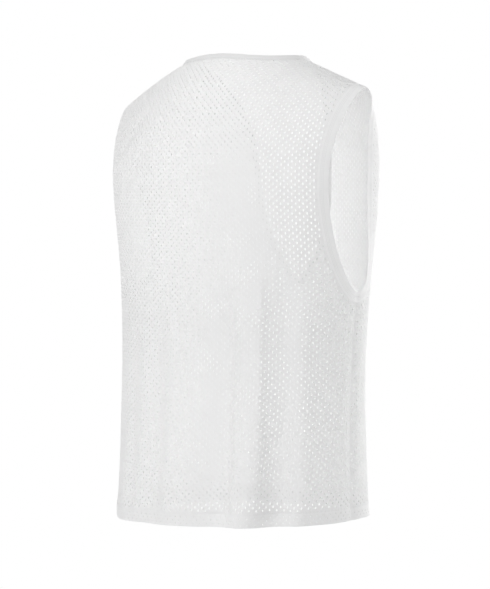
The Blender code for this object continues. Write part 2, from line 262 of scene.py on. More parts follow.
def level_at(panel, across, height):
    """x, y and outward direction of the body's outline at a height, and the seam's y."""
    width = between(LEVELS, height, HALF_WIDTH)
    depth = between(LEVELS, height, BACK_DEPTH if panel == BACK else FRONT_DEPTH)
    roundness = between(LEVELS, height, BACK_ROUND if panel == BACK else FRONT_ROUND)
    x, y, out_x, out_y = along_quarter(np.abs(across), width, depth, roundness)
    side = np.copysign(1.0, across)
    return side * x, panel * y, side * out_x, panel * out_y, between(LEVELS, height, SIDE_Y)


def cloth(panel, across, down, proud=0.0):
    """Points of the cloth's outer face. across runs from -1 at the right side seam to 1 at
    the left one, and down is the way down from the shoulder ridge."""
    across, down = np.broadcast_arrays(np.asarray(across, float), np.asarray(down, float))
    radius = ARCH[panel]
    round_part = down < radius * math.pi / 2
    fall = np.where(round_part, radius * (1 - np.cos(down / radius)),
                    radius + down - radius * math.pi / 2)
    share = np.where(round_part, np.sin(down / radius), 1.0)
    height = -fall
    for _ in range(5):
        x, y, out_x, out_y, side_y = level_at(panel, across, height)
        height = ridge_height(x) - fall
    base = ridge_y(x) + (side_y - ridge_y(x)) * smooth(fall / SIDE_BLEND)
    push = fold_depth(panel, across, x, height) * smooth(np.abs(share) / PUSH_START)
    off = (1 - np.abs(across)) / SIDE_SEAM_HALF
    valley = VALLEY_DIP * np.exp(-((off / VALLEY_SPREAD) ** 2))
    valley = valley * smooth((VALLEY_TOP - height) / VALLEY_START)
    valley = valley * smooth((height - HEM_HEIGHT) / VALLEY_END)
    push = push + proud * share - pulled_in(height, off) * smooth(share) - valley
    lift = proud * (1 - share) - pulled_in(x, down / SHOULDER_SEAM_HALF)
    return np.stack((x + out_x * push, base + y * share + out_y * push,
                     height + lift), axis=-1)


def down_to(panel, across, height):
    """The way down from the ridge that reaches a height."""
    across, height = np.broadcast_arrays(np.asarray(across, float), np.asarray(height, float))
    radius = ARCH[panel]
    fall = np.maximum(ridge_height(level_at(panel, across, height)[0]) - height, 0.0)
    arc = radius * np.arccos(1 - np.minimum(fall, radius) / radius)
    return np.where(fall < radius, arc, radius * math.pi / 2 + fall - radius)


def at_x(panel, x, down):
    """Where across the panel the cloth reaches an x, a way down from the ridge."""
    x, down = np.broadcast_arrays(np.asarray(x, float), np.asarray(down, float))
    low, high = np.zeros(x.shape), np.ones(x.shape)
    for _ in range(24):
        middle = (low + high) / 2
        short = np.abs(cloth(panel, np.copysign(middle, x), down)[..., 0]) < np.abs(x)
        low, high = np.where(short, middle, low), np.where(short, high, middle)
    return np.copysign(low, x)


def slopes(panel, across, down, nudge=0.001):
    """How the cloth's points move with across and with down."""
    across, down = np.broadcast_arrays(np.asarray(across, float), np.asarray(down, float))
    here = cloth(panel, across, down)
    inward = -np.copysign(nudge, across)
    by_across = (cloth(panel, across + inward, down) - here) / inward[..., None]
    return by_across, (cloth(panel, across, down + nudge) - here) / nudge


def unit(vectors):
    """The same directions, each of length one."""
    return vectors / np.linalg.norm(vectors, axis=-1, keepdims=True)


def outward(panel, across, down):
    """The cloth's outward direction, square to its face."""
    by_across, by_down = slopes(panel, across, down)
    return unit(np.cross(by_down, by_across) * panel)


# The cut: armholes, neck and hem. One row for each place along the armhole's free edge:
# share of the way from underarm to shoulder tip, and place across the back and the front
UNDERARM_HEIGHT = -0.3260
ARMHOLE_BAND = 0.0180
TIP_TURN = 0.60
ARMHOLE = np.array((
    (0.00, 1.000, 1.000),
    (0.12, 0.950, 0.940),
    (0.24, 0.890, 0.915),
    (0.36, 0.832, 0.925),
    (0.50, 0.785, 0.958),
    (0.64, 0.764, 0.978),
    (0.78, 0.775, 0.968),
    (0.90, 0.812, 0.860),
    (1.00, 0.830, 0.830),
))

# One row for each place along the front neck's edge: share of the way from the neck point
# to the middle, share of the neck's half width, share of the front drop
NECK_BACK_DROP = 0.0980
NECK_FRONT_DROP = 0.4530
NECK_FRONT_SHIFT = 0.0080
NECK_FRONT = np.array((
    (0.00, 1.000, 0.000),
    (0.12, 0.963, 0.126),
    (0.19, 0.917, 0.194),
    (0.30, 0.815, 0.310),
    (0.42, 0.722, 0.432),
    (0.54, 0.676, 0.558),
    (0.65, 0.639, 0.675),
    (0.72, 0.590, 0.742),
    (0.83, 0.435, 0.857),
    (0.92, 0.231, 0.945),
    (0.96, 0.115, 0.986),
    (1.00, 0.000, 1.000),
))
HEM_BAND = 0.0210
HEM_TILT_X = -0.0850
HEM_TILT_Y = 0.0350


def armhole_edge(panel, side, way):
    """The armhole's free edge, across and down, from underarm (0) to shoulder tip (1)."""
    tip = np.abs(at_x(panel, side * TIP_HALF_WIDTH, 0.0))
    bottom = down_to(panel, float(side), UNDERARM_HEIGHT)
    across = between(ARMHOLE, way, 1 if panel == BACK else 2)
    across = across + (tip - ARMHOLE[-1, 1]) * smooth((way - TIP_TURN) / (1 - TIP_TURN))
    return side * across, np.where(way < 1, bottom * np.cos(way * math.pi / 2), 0.0)


def neck_edge(panel, way):
    """The neck's edge, across and down, from the right neck point (0) to the left one (1)."""
    if panel == BACK:
        x = NECK_HALF_WIDTH * np.cos(math.pi * way)
        down = NECK_BACK_DROP * np.sin(math.pi * way)
    else:
        inward = 1 - np.abs(2 * way - 1)
        x = np.copysign(NECK_HALF_WIDTH * between(NECK_FRONT, inward, 1), 0.5 - way)
        x = x - NECK_FRONT_SHIFT * np.sin(math.pi * inward)
        down = NECK_FRONT_DROP * between(NECK_FRONT, inward, 2)
    down = np.where((way > 0) & (way < 1), down, 0.0)
    return at_x(panel, -x, down), down


def square_in(panel, across, down, ahead, behind, inner):
    """The direction in the cloth, square to an edge, that points into the panel. ahead and
    behind are the edge's places next to this one, and inner says which side is inside."""
    by_across, by_down = slopes(panel, across, down)
    run = cloth(panel, *ahead) - cloth(panel, *behind)
    run = np.where((down == 0)[..., None], by_down, run)
    run = np.where(((np.abs(across) == 1) & (down != 0))[..., None], by_across, run)
    direction = unit(np.cross(np.cross(by_across, by_down), run))
    within = cloth(panel, across * inner, down + 0.1) - cloth(panel, across, down)
    return direction * np.sign((direction * within).sum(axis=-1, keepdims=True))


def armhole_inset(panel, side, way, width):
    """Across and down of the armhole's places once they are moved into the panel."""
    across, down = armhole_edge(panel, side, way)
    ahead = armhole_edge(panel, side, np.minimum(way + 0.01, 1.0))
    behind = armhole_edge(panel, side, np.maximum(way - 0.01, 0.0))
    goal = cloth(panel, across, down)
    goal = goal + square_in(panel, across, down, ahead, behind, 0.5) * width
    in_across, in_down = across * 0.98, down
    for _ in range(7):
        by_across, by_down = slopes(panel, in_across, in_down)
        miss = goal - cloth(panel, in_across, in_down)
        aa = (by_across * by_across).sum(-1)
        ad = (by_across * by_down).sum(-1)
        dd = (by_down * by_down).sum(-1)
        am = (by_across * miss).sum(-1)
        dm = (by_down * miss).sum(-1)
        in_across = np.clip(in_across + (dd * am - ad * dm) / (aa * dd - ad**2), -1.0, 1.0)
        in_down = np.maximum(in_down + (aa * dm - ad * am) / (aa * dd - ad**2), 0.0)
    in_across = np.where(np.abs(across) == 1, across, in_across)
    return in_across, np.where(down == 0, 0.0, in_down)


def hem_down(panel, across, above):
    """The way down to a line above the hem, which isn't quite level."""
    height = HEM_HEIGHT + above
    place = cloth(panel, across, down_to(panel, across, height))
    tilt = HEM_TILT_X * place[..., 0] + HEM_TILT_Y * place[..., 1]
    return down_to(panel, across, height + tilt)


# Flat cloth: a panel's places are measured on the cloth itself, across from its middle and
# up from a level line, so that the knit keeps its spacing where the cloth bends
GRAIN_LEVEL = -0.40
FLAT_HALF = 0.285
RIDGE_CLEAR = 0.05
FLAT_ACROSS = (-1, 1, 161)
FLAT_DOWN = (-0.04, 0.80, 211)
FLAT_UP = (-0.36, 0.50, 216)


class Flat:
    """The flat measure of one panel, and the way back from it to the panel."""

    def __init__(self, panel):
        self.across, self.down, self.up = (
            np.linspace(*span) for span in (FLAT_ACROSS, FLAT_DOWN, FLAT_UP))
        points = cloth(panel, self.across[:, None], self.down[None, :])
        runs = np.cumsum(np.linalg.norm(np.diff(points, axis=1), axis=-1), axis=1)
        runs = np.concatenate((np.zeros((len(self.across), 1)), runs), axis=1)
        self.ups = np.empty_like(runs)
        self.downs = np.empty((len(self.across), len(self.up)))
        for i in range(len(self.across)):
            past_ridge = self.down > RIDGE_CLEAR
            heights = points[i, past_ridge, 2]
            level = np.interp(-GRAIN_LEVEL, -heights, runs[i, past_ridge])
            self.ups[i] = level - runs[i]
            self.downs[i] = np.interp(self.up, self.ups[i, ::-1], self.down[::-1])
        points = cloth(panel, self.across[:, None], self.downs)
        runs = np.cumsum(np.linalg.norm(np.diff(points, axis=0), axis=-1), axis=0)
        runs = np.concatenate((np.zeros((1, len(self.up))), runs), axis=0)
        self.asides = runs - runs[len(self.across) // 2]

    def look_up(self, grid, xs, ys, x, y):
        """A grid's value between its places."""
        i = np.clip((x - xs[0]) / (xs[1] - xs[0]), 0, len(xs) - 1.001)
        j = np.clip((y - ys[0]) / (ys[1] - ys[0]), 0, len(ys) - 1.001)
        i0, j0 = i.astype(int), j.astype(int)
        a, b = i - i0, j - j0
        low = grid[i0, j0] * (1 - a) + grid[i0 + 1, j0] * a
        high = grid[i0, j0 + 1] * (1 - a) + grid[i0 + 1, j0 + 1] * a
        return low * (1 - b) + high * b

    def flat(self, across, down):
        """Flat places, as rows, from places on the panel."""
        up = self.look_up(self.ups, self.across, self.down, across, down)
        aside = self.look_up(self.asides, self.across, self.up, across, up)
        return np.stack((aside, up), axis=1)

    def place(self, aside, up):
        """Places on the panel from flat ones."""
        across = aside / FLAT_HALF
        for _ in range(8):
            miss = aside - self.look_up(self.asides, self.across, self.up, across, up)
            across = np.clip(across + miss / FLAT_HALF, -1.0, 1.0)
        return across, self.look_up(self.downs, self.across, self.up, across, up)


def runs_of(line):
    """The length run along a line, at each of its points."""
    return np.concatenate(((0.0,), np.cumsum(np.linalg.norm(np.diff(line, axis=0), axis=1))))


def rows_at(at, runs, rows):
    """Rows that are known at some lengths along a line, at other lengths."""
    return np.stack([np.interp(at, runs, rows[:, k]) for k in range(rows.shape[1])], axis=1)


def resample(line, spacing):
    """Points at about a spacing along a line, both ends kept."""
    runs = runs_of(line)
    count = max(int(round(runs[-1] / spacing)), 1)
    return rows_at(np.linspace(0, runs[-1], count + 1), runs, line)


def closed_line(pieces, spacing):
    """One closed loop of flat points from several lines that follow each other."""
    return np.concatenate([resample(line, spacing)[:-1] for line in pieces])


def clear_of(points, loop):
    """How far inside a closed loop each point lies, or below zero if it is outside."""
    start, end = loop, np.roll(loop, -1, axis=0)
    inside = np.zeros(len(points), bool)
    best = np.full(len(points), 1e9)
    for a, b in zip(start, end):
        way = b - a
        t = np.clip(((points - a) @ way) / (way @ way), 0, 1)
        best = np.minimum(best, np.hypot(*(points - a - t[:, None] * way).T))
        crosses = (a[1] > points[:, 1]) != (b[1] > points[:, 1])
        cut = (b[0] - a[0]) * (points[:, 1] - a[1]) / (b[1] - a[1] + 1e-15) + a[0]
        inside ^= crosses & (points[:, 0] < cut)
    return np.where(inside, best, -best)


# The knit's holes: spacing of their columns, spacing in a column, width and height
COLUMN_STEP = 0.0052
HOLE_STEP = 0.0090
HOLE_WIDTH = 0.0023
HOLE_HEIGHT = 0.0037
HOLE_CORNERS = 6
HOLE_UNEVEN = 0.07
HOLE_STRAY = 0.00015
HOLE_MARGIN = 0.0026
BEND_CLEAR = 1.12
EDGE_SPACING = 0.0035
KNIT_WALL = 0.00055


def pierced(loop, seed, extra=(), level=0.0, open_share=1.0):
    """Flat triangles that fill a loop, less the knit's holes. Gives points and triangles.
    extra points keep a bend's shape, and the holes stay clear of it."""
    draw = random.Random(seed)
    low, high = loop.min(axis=0), loop.max(axis=0)
    centres = []
    for column in range(int(low[0] / COLUMN_STEP) - 1, int(high[0] / COLUMN_STEP) + 2):
        for row in range(int(low[1] / HOLE_STEP) - 1, int(high[1] / HOLE_STEP) + 2):
            up = (row + 0.5 * (column % 2)) * HOLE_STEP - level % HOLE_STEP
            centres.append((column * COLUMN_STEP, up))
    centres = np.array(centres)
    centres = centres[clear_of(centres, loop) > HOLE_MARGIN]
    for line in sorted({round(float(y), 6) for _, y in extra}):
        centres = centres[np.abs(centres[:, 1] - line) > HOLE_HEIGHT / 2 * BEND_CLEAR]
    points = [tuple(p) for p in loop]
    edges = [(i, (i + 1) % len(loop)) for i in range(len(loop))]
    points += [tuple(p) for p in extra]
    owner = [-1] * len(points)
    angles = [2 * math.pi * (k + 0.5) / HOLE_CORNERS for k in range(HOLE_CORNERS)]
    for number, (x, y) in enumerate(centres):
        wide = HOLE_WIDTH / 2 * open_share * draw.uniform(1 - HOLE_UNEVEN, 1 + HOLE_UNEVEN)
        tall = HOLE_HEIGHT / 2 * open_share * draw.uniform(1 - HOLE_UNEVEN, 1 + HOLE_UNEVEN)
        x += draw.uniform(-HOLE_STRAY, HOLE_STRAY)
        y += draw.uniform(-HOLE_STRAY, HOLE_STRAY)
        first = len(points)
        for k, angle in enumerate(angles):
            points.append((x + wide * math.cos(angle), y + tall * math.sin(angle)))
            edges.append((first + k, first + (k + 1) % HOLE_CORNERS))
            owner.append(number)
    scaled = [(1000 * x, 1000 * y) for x, y in points]
    found = geometry.delaunay_2d_cdt(scaled, edges, [], 1, 1e-5)
    verts, triangles, origins = found[0], found[2], found[3]
    owners = [owner[o[0]] if o else -1 for o in origins]
    kept = []
    for triangle in triangles:
        a, b, c = (owners[v] for v in triangle)
        if a < 0 or a != b or b != c:
            kept.append(tuple(triangle))
    return np.array([(v[0], v[1]) for v in verts]) / 1000, kept


def added(name, points, faces):
    """A new piece with these points and faces."""
    mesh = bpy.data.meshes.new(name)
    mesh.from_pydata([tuple(p) for p in points], [], faces)
    piece = bpy.data.objects.new(name, mesh)
    bpy.context.collection.objects.link(piece)
    return piece


def shell(name, points, faces, flat, wall):
    """A thin closed shell on points of a cloth's outer face, with the flat places as its
    UV map."""
    piece = added(name, points, faces)
    uv = piece.data.uv_layers.new(name="Cloth")
    corners = np.empty(len(piece.data.loops), dtype=np.int32)
    piece.data.loops.foreach_get("vertex_index", corners)
    uv.data.foreach_set("uv", np.asarray(flat, dtype=np.float32)[corners].ravel())
    bpy.context.view_layer.objects.active = piece
    piece.select_set(True)
    bpy.ops.object.mode_set(mode="EDIT")
    bpy.ops.mesh.select_all(action="SELECT")
    bpy.ops.mesh.delete_loose()
    bpy.ops.object.mode_set(mode="OBJECT")
    solid = piece.modifiers.new("Wall", "SOLIDIFY")
    solid.thickness = wall
    solid.offset = -1.0
    bpy.ops.object.modifier_apply(modifier=solid.name)
    bpy.ops.object.shade_smooth_by_angle(angle=math.radians(50))
    piece.select_set(False)
    return piece


def facing_out(points, faces, some=slice(None)):
    """The faces, turned so that all or some of them point away from the body."""
    a, b, c = (points[[f[k] for f in faces]][some] for k in range(3))
    normals = np.cross(b - a, c - a)
    middle = (a + b + c) / 3
    middle[:, 2] = 0.0
    if (normals[:, :2] * middle[:, :2]).sum() < 0:
        return [tuple(reversed(f)) for f in faces]
    return faces


# The panel runs on for a little under the bands that are sewn over its edges
TUCK = 0.0030


def panel_loop(panel, measure):
    """The panel's outline in flat places, anticlockwise from the hem's right corner."""
    fine = np.linspace(0, 1, 61)
    across = np.linspace(-1, 1, 121)
    lines = [measure.flat(across, hem_down(panel, across, HEM_BAND - TUCK))]
    neck_across, neck_down = neck_edge(panel, fine)
    for side in (1.0, -1.0):
        in_across, in_down = armhole_inset(panel, side, fine, ARMHOLE_BAND - TUCK)
        low = hem_down(panel, np.array([side]), HEM_BAND - TUCK)[0]
        seam = measure.flat(np.full(41, side), np.linspace(low, in_down[0], 41))
        arm = measure.flat(in_across, in_down)
        point = neck_across[-1] if side > 0 else neck_across[0]
        ridge = measure.flat(np.linspace(in_across[-1], point, 31), np.zeros(31))
        if side > 0:
            lines += [seam, arm, ridge, measure.flat(neck_across[::-1], neck_down[::-1])]
        else:
            lines += [ridge[::-1], arm[::-1], seam[::-1]]
    return closed_line(lines, EDGE_SPACING)


def knit_panel(name, panel, seed):
    """One whole panel of pierced cloth."""
    measure = Flat(panel)
    flat, faces = pierced(panel_loop(panel, measure), seed)
    points = cloth(panel, *measure.place(flat[:, 0], flat[:, 1]))
    return shell(name, points, facing_out(points, faces), flat, KNIT_WALL)


class Socket:
    """One output in a material's nodes. Arithmetic on it adds Math nodes."""

    def __init__(self, tree, output):
        self.tree, self.output = tree, output

    def node(self, kind, settings=None, inputs=None, output=0):
        """Any node: its type, its settings, and the values or links of its inputs."""
        made = self.tree.nodes.new("ShaderNode" + kind)
        for name, value in (settings or {}).items():
            setattr(made, name, value)
        for name, value in (inputs or {}).items():
            if isinstance(value, Socket):
                self.tree.links.new(value.output, made.inputs[name])
            else:
                made.inputs[name].default_value = value
        return Socket(self.tree, made.outputs[output])

    def maths(self, operation, *values):
        """A Math node on these values."""
        return self.node("Math", {"operation": operation}, dict(enumerate(values)))

    def __add__(self, other):
        return self.maths("ADD", self, other)

    def __mul__(self, other):
        return self.maths("MULTIPLY", self, other)


def new_material(name):
    """An empty material, as a socket to start its nodes from, and its output node."""
    made = bpy.data.materials.new(name)
    made.use_nodes = True
    tree = made.node_tree
    tree.nodes.clear()
    return made, Socket(tree, None), tree.nodes.new("ShaderNodeOutputMaterial")


# White polyester yarn lets over a third of the light through, and sends most of the rest back
YARN_WHITE = (0.94, 0.94, 0.94, 1.0)
YARN_DULL = (0.91, 0.91, 0.91, 1.0)
KNIT_THROUGH = 0.38
WALE_STEP = 0.00118
COURSE_STEP = 0.00095


def flat_place(start):
    """The cloth's flat measure in a material, whole, and its two parts."""
    place = start.node("UVMap", {"uv_map": "Cloth"})
    across = start.node("SeparateXYZ", None, {"Vector": place})
    return place, across, Socket(start.tree, across.output.node.outputs["Y"])


def cloth_surface(output, shade, bump, white, through, look):
    """Cloth that sends back a part of the light and lets the rest of it through."""
    front = bump.node("BsdfPrincipled", None, {"Base Color": shade, "Normal": bump, **look})
    back = bump.node("BsdfTranslucent", None, {"Color": white, "Normal": bump})
    both = bump.node("MixShader", None, {0: through, 1: front, 2: back})
    bump.tree.links.new(both.output, output.inputs["Surface"])


def knit_material(name, through):
    """Knitted yarn: fine upright wales crossed by courses, in the cloth's flat measure."""
    made, start, output = new_material(name)
    place, across, up = flat_place(start)
    ribs = across * (math.pi / WALE_STEP)
    wale = ribs.maths("ABSOLUTE", ribs.maths("SINE", ribs))
    course = up.maths("SINE", up * (2 * math.pi / COURSE_STEP) + wale * 1.6)
    slack = start.node("TexNoise", {"noise_dimensions": "2D"},
                       {"Vector": place, "Scale": 90.0, "Detail": 3.0})
    height = wale * 0.6 + course * 0.25 + slack * 0.5
    bump = start.node("Bump", None, {"Strength": 0.35, "Distance": 0.00025, "Height": height})
    shade = start.node("Mix", {"data_type": "RGBA"}, {0: slack, 6: YARN_DULL, 7: YARN_WHITE},
                       output=2)
    cloth_surface(output, shade, bump, YARN_WHITE, through, {
        "Roughness": 0.72, "Specular IOR Level": 0.25, "Sheen Weight": 0.15,
        "Sheen Roughness": 0.5})
    return made


knit = knit_material("white_knit", KNIT_THROUGH)
back_cloth = knit_panel("back_cloth", BACK, 11)
back_cloth.data.materials.append(knit)
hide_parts("back_panel")
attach(back_cloth, "root")

# FRONT PANEL
# The front is cut from the same mesh, with a deep rounded neck and with armholes that run
# closer to the side. It meets the back at the shoulder seams and the side seams.

front_cloth = knit_panel("front_cloth", FRONT, 12)
front_cloth.data.materials.append(knit)
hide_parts("front_panel")
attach(front_cloth, "root")

# ARMHOLE BANDS
# Each armhole is bound with a strip of close ribbed knit, folded over the raw edge. Three
# lines of stitches run along its middle on both faces, and a fourth close to its sewn edge.

BAND_STEP = 0.0016
BAND_WIDTHS = np.array((0.0, 0.0045, 0.0090, 0.0135, ARMHOLE_BAND))
BAND_LINES = (0.0168, 0.0122, 0.0101, 0.0080)
LINE_HALF_WIDTH = 0.00045
LINE_DEPTH = 0.00032
BAND_TOP = 0.00042
BAND_UNDER = -0.00148
BAND_ROUNDING = 0.0009
EDGE_MARKS = (0.0, 0.0002, 0.0006, 0.0011)
EDGE_DROP = 0.55
EDGE_ROUNDING = 0.00028
MARK_STEP = 0.0018
MARK_CLEAR = 0.00019
JOIN_HEIGHT = 0.00030
JOIN_HALF_WIDTH = 0.0014
BAND_PUCKER = 0.00003
BAND_WAVES = ((0.00010, 0.0041), (0.00008, 0.0097))
STITCH_STEP = 0.0030
STITCH_LENGTH = 0.0023
STITCH_THICK = 0.00050
STITCH_SIDES = 5
STITCH_ENDS = (-0.30, 0.30)
STITCH_SUNK = -0.35
SHADE_DOT_DEPTH = 0.38
RIB_STEP = 0.00130


def section(width, lines, top, under):
    """A folded strip's section, from its outer edge on top, round the fold at zero, to its
    outer edge beneath: distance from the fold, and height over the cloth."""
    middle, half = (top + under) / 2, (top - under) / 2
    marks = {width - mark for mark in EDGE_MARKS} | {BAND_ROUNDING * 1.6}
    for line in lines:
        marks |= {line + step * LINE_HALF_WIDTH for step in (-2, -1, 0, 1, 2)}
    marks |= set(np.arange(0.003, width - 0.001, MARK_STEP))
    face = []
    for mark in sorted((m for m in marks if m > BAND_ROUNDING), reverse=True):
        if not face or face[-1][0] - mark > MARK_CLEAR:
            dip = sum(LINE_DEPTH * math.exp(-((mark - line) / LINE_HALF_WIDTH) ** 2)
                      for line in lines)
            edge = EDGE_DROP * half * math.exp(-(width - mark) / EDGE_ROUNDING)
            face.append((mark, half - dip - edge))
    fold = [(BAND_ROUNDING * (1 - math.sin(turn)), half * math.cos(turn))
            for turn in np.linspace(0.3, math.pi / 2, 5)]
    upper = face + fold
    lower = [(mark, -high) for mark, high in reversed(upper[:-1])]
    return np.array([(mark, middle + high) for mark, high in upper + lower])


def sunk(profile, lines):
    """How deep each point of a section lies in its lines of stitches, from 0 to 1: how much
    painted shade it takes there.
    """
    return sum(np.exp(-((profile[:, 0] - line) / LINE_HALF_WIDTH) ** 2) for line in lines)


def turned_out(piece):
    """The piece, with its faces turned outwards and shaded smooth."""
    bpy.context.view_layer.objects.active = piece
    piece.select_set(True)
    bpy.ops.object.mode_set(mode="EDIT")
    bpy.ops.mesh.select_all(action="SELECT")
    bpy.ops.mesh.normals_make_consistent(inside=False)
    bpy.ops.object.mode_set(mode="OBJECT")
    bpy.ops.object.shade_smooth()
    piece.select_set(False)
    return piece


def strip(name, rings, along, grooves):
    """A closed skin over rings of points, each a section across a folded strip, with its
    length and its way round as the UV map, and as an attribute the painted shade of
    its stitched grooves, dotted at each stitch."""
    count, sides = rings.shape[:2]
    steps = np.linalg.norm(np.diff(rings[0], axis=0, append=rings[0][:1]), axis=1)
    around = np.concatenate(((0.0,), np.cumsum(steps)))
    faces, places = [], []
    for i in range(count):
        for j in range(sides):
            a, b = (i + 1) % count, (j + 1) % sides
            faces.append((i * sides + j, a * sides + j, a * sides + b, i * sides + b))
            places += [(around[j], along[i]), (around[j], along[i + 1]),
                       (around[j + 1], along[i + 1]), (around[j + 1], along[i])]
    piece = added(name, rings.reshape(-1, 3), faces)
    uv = piece.data.uv_layers.new(name="Cloth")
    uv.data.foreach_set("uv", np.asarray(places, dtype=np.float32).ravel())
    # Painted shade in the stitched grooves, darker in the gap between each two stitches
    shade_dots = np.sin(2 * math.pi * np.asarray(along[:count]) / STITCH_STEP)
    shade_dots = 1 - SHADE_DOT_DEPTH + SHADE_DOT_DEPTH * shade_dots
    groove_shade = piece.data.attributes.new("GrooveShade", "FLOAT", "POINT")
    groove_shade.data.foreach_set("value", (shade_dots[:, None] * grooves[None, :]).ravel())
    return turned_out(piece)


def even_ways(points, ways, step):
    """Ways at even steps of length along a line that is known at some ways, and the run."""
    runs = runs_of(points)
    at = np.linspace(0, runs[-1], int(round(runs[-1] / step)) + 1)
    return np.interp(at, runs, ways), at


def armhole_rings(side, profile):
    """Rings round an armhole: the back from underarm to shoulder, then the front down again,
    each with its section. Also the run along it."""
    fine = np.linspace(0, 1, 241)
    rings, runs, start = [], [], 0.0
    for panel in (BACK, FRONT):
        line = cloth(panel, *armhole_inset(panel, side, fine, ARMHOLE_BAND / 2))
        ways, at = even_ways(line, fine, BAND_STEP)
        grid = np.array([armhole_inset(panel, side, ways, width) for width in BAND_WIDTHS])
        along = np.interp(profile[:, 0], BAND_WIDTHS, np.arange(len(BAND_WIDTHS)))
        low = np.minimum(along.astype(int), len(BAND_WIDTHS) - 2)
        part = (along - low)[:, None]
        across = grid[low, 0] * (1 - part) + grid[low + 1, 0] * part
        down = grid[low, 1] * (1 - part) + grid[low + 1, 1] * part
        pucker = BAND_PUCKER * np.sin(2 * math.pi * at / STITCH_STEP)
        join = JOIN_HEIGHT * np.exp(-(at / JOIN_HALF_WIDTH) ** 2)
        wave = sum(size * np.sin(at / length + turn)
                   for (size, length), turn in zip(BAND_WAVES, (3.0 * side, panel)))
        high = profile[:, 1][:, None]
        away = np.sign(high - (BAND_TOP + BAND_UNDER) / 2)
        high = high + away * (join - pucker)[None, :] + wave[None, :]
        points = np.swapaxes(cloth(panel, across, down, proud=high), 0, 1)
        if panel == BACK:
            rings.append(points[:-1])
            runs.append(at[:-1])
            start = at[-1]
        else:
            rings.append(points[:0:-1])
            runs.append(start + (at[-1] - at[:0:-1]))
            runs.append(np.array((start + at[-1],)))
    return np.concatenate(rings), np.concatenate(runs)


def sewn(name, lines):
    """Short raised stitches at even steps along lines of points. Each line comes with its
    outward directions, and its points lie where the thread touches the cloth."""
    places, ways, ups = [], [], []
    for points, normals in lines:
        runs = runs_of(points)
        count = int(runs[-1] / STITCH_STEP)
        at = (np.arange(count) + 0.5) * runs[-1] / count
        ahead, before = (rows_at(at + step, runs, points) for step in (0.0005, -0.0005))
        places.append(rows_at(at, runs, points))
        ways.append(unit(ahead - before))
        ups.append(unit(rows_at(at, runs, normals)))
    place, way, up = np.concatenate(places), np.concatenate(ways), np.concatenate(ups)
    aside = unit(np.cross(way, up))
    n = STITCH_SIDES
    shape = [(-0.5, 0.0, STITCH_SUNK)]
    for end in STITCH_ENDS:
        shape += [(end, 0.5 * math.cos(turn), 0.5 * math.sin(turn))
                  for turn in np.arange(n) * 2 * math.pi / n + 0.3]
    shape += [(0.5, 0.0, STITCH_SUNK)]
    points = np.array([place + way * (a * STITCH_LENGTH) + aside * (b * STITCH_THICK)
                       + up * (c * STITCH_THICK) for a, b, c in shape])
    points = np.swapaxes(points, 0, 1).reshape(-1, 3)
    skin = []
    for k in range(n):
        a, b = 1 + k, 1 + (k + 1) % n
        skin += [(0, b, a), (2 * n + 1, a + n, b + n), (a, b, b + n, a + n)]
    faces = [tuple(len(shape) * i + v for v in face) for i in range(len(place)) for face in skin]
    return turned_out(added(name, points, faces))


def stitch_line(rings, profile, half, width):
    """A line along the strip, on one half of its section and at a distance from its fold,
    with its outward directions."""
    where = min(half, key=lambda k: abs(profile[k, 0] - width))
    line = rings[:, where]
    along = np.roll(line, -1, axis=0) - np.roll(line, 1, axis=0)
    normals = unit(np.cross(along, rings[:, (where + 1) % len(profile)] - rings[:, where - 1]))
    away = line - rings.mean(axis=1)
    normals = normals * np.sign((normals * away).sum(axis=1, keepdims=True))
    return np.concatenate((line, line[:1])), np.concatenate((normals, normals[:1]))


def sewn_strip(name, rings, profile, widths):
    """Stitches along a strip, at distances from its fold and on both its faces."""
    half = len(profile) // 2
    return sewn(name, [stitch_line(rings, profile, face, width)
                       for face in (range(half), range(half + 1, len(profile)))
                       for width in widths])


BAND_WHITE = (0.97, 0.97, 0.97, 1.0)
BAND_DULL = (0.94, 0.94, 0.94, 1.0)
# Painted shade for the stitched grooves of the bands
BAND_GROOVE_SHADE = (0.88, 0.88, 0.88, 1.0)
BAND_THROUGH = 0.06
THREAD_WHITE = (0.93, 0.93, 0.935, 1.0)
THREAD_DULL = (0.84, 0.84, 0.85, 1.0)


def band_material(name, white, dull):
    """Close ribbed knit, its ribs along the strip and its courses across them, and painted
    shade in its stitched grooves.
    """
    made, start, output = new_material(name)
    place, round_it, along = flat_place(start)
    rib = round_it.maths("SINE", round_it * (2 * math.pi / RIB_STEP))
    course = along.maths("SINE", along * (2 * math.pi / COURSE_STEP) + rib * 1.2)
    slack = start.node("TexNoise", {"noise_dimensions": "2D"},
                       {"Vector": place, "Scale": 140.0, "Detail": 3.0})
    height = rib * 0.5 + course * 0.25 + slack * 0.9
    bump = start.node("Bump", None, {"Strength": 0.4, "Distance": 0.00022, "Height": height})
    plain = start.node("Mix", {"data_type": "RGBA"}, {0: slack, 6: dull, 7: white},
                       output=2)
    # Painted shade: the stitched grooves turn greyer by this attribute
    groove_shade = start.node("Attribute", {"attribute_name": "GrooveShade"}, output="Fac")
    shade = start.node("Mix", {"data_type": "RGBA", "clamp_factor": True},
                       {0: groove_shade, 6: plain, 7: BAND_GROOVE_SHADE}, output=2)
    cloth_surface(output, shade, bump, white, BAND_THROUGH, {
        "Roughness": 0.68, "Specular IOR Level": 0.3, "Sheen Weight": 0.2,
        "Sheen Roughness": 0.45})
    return made


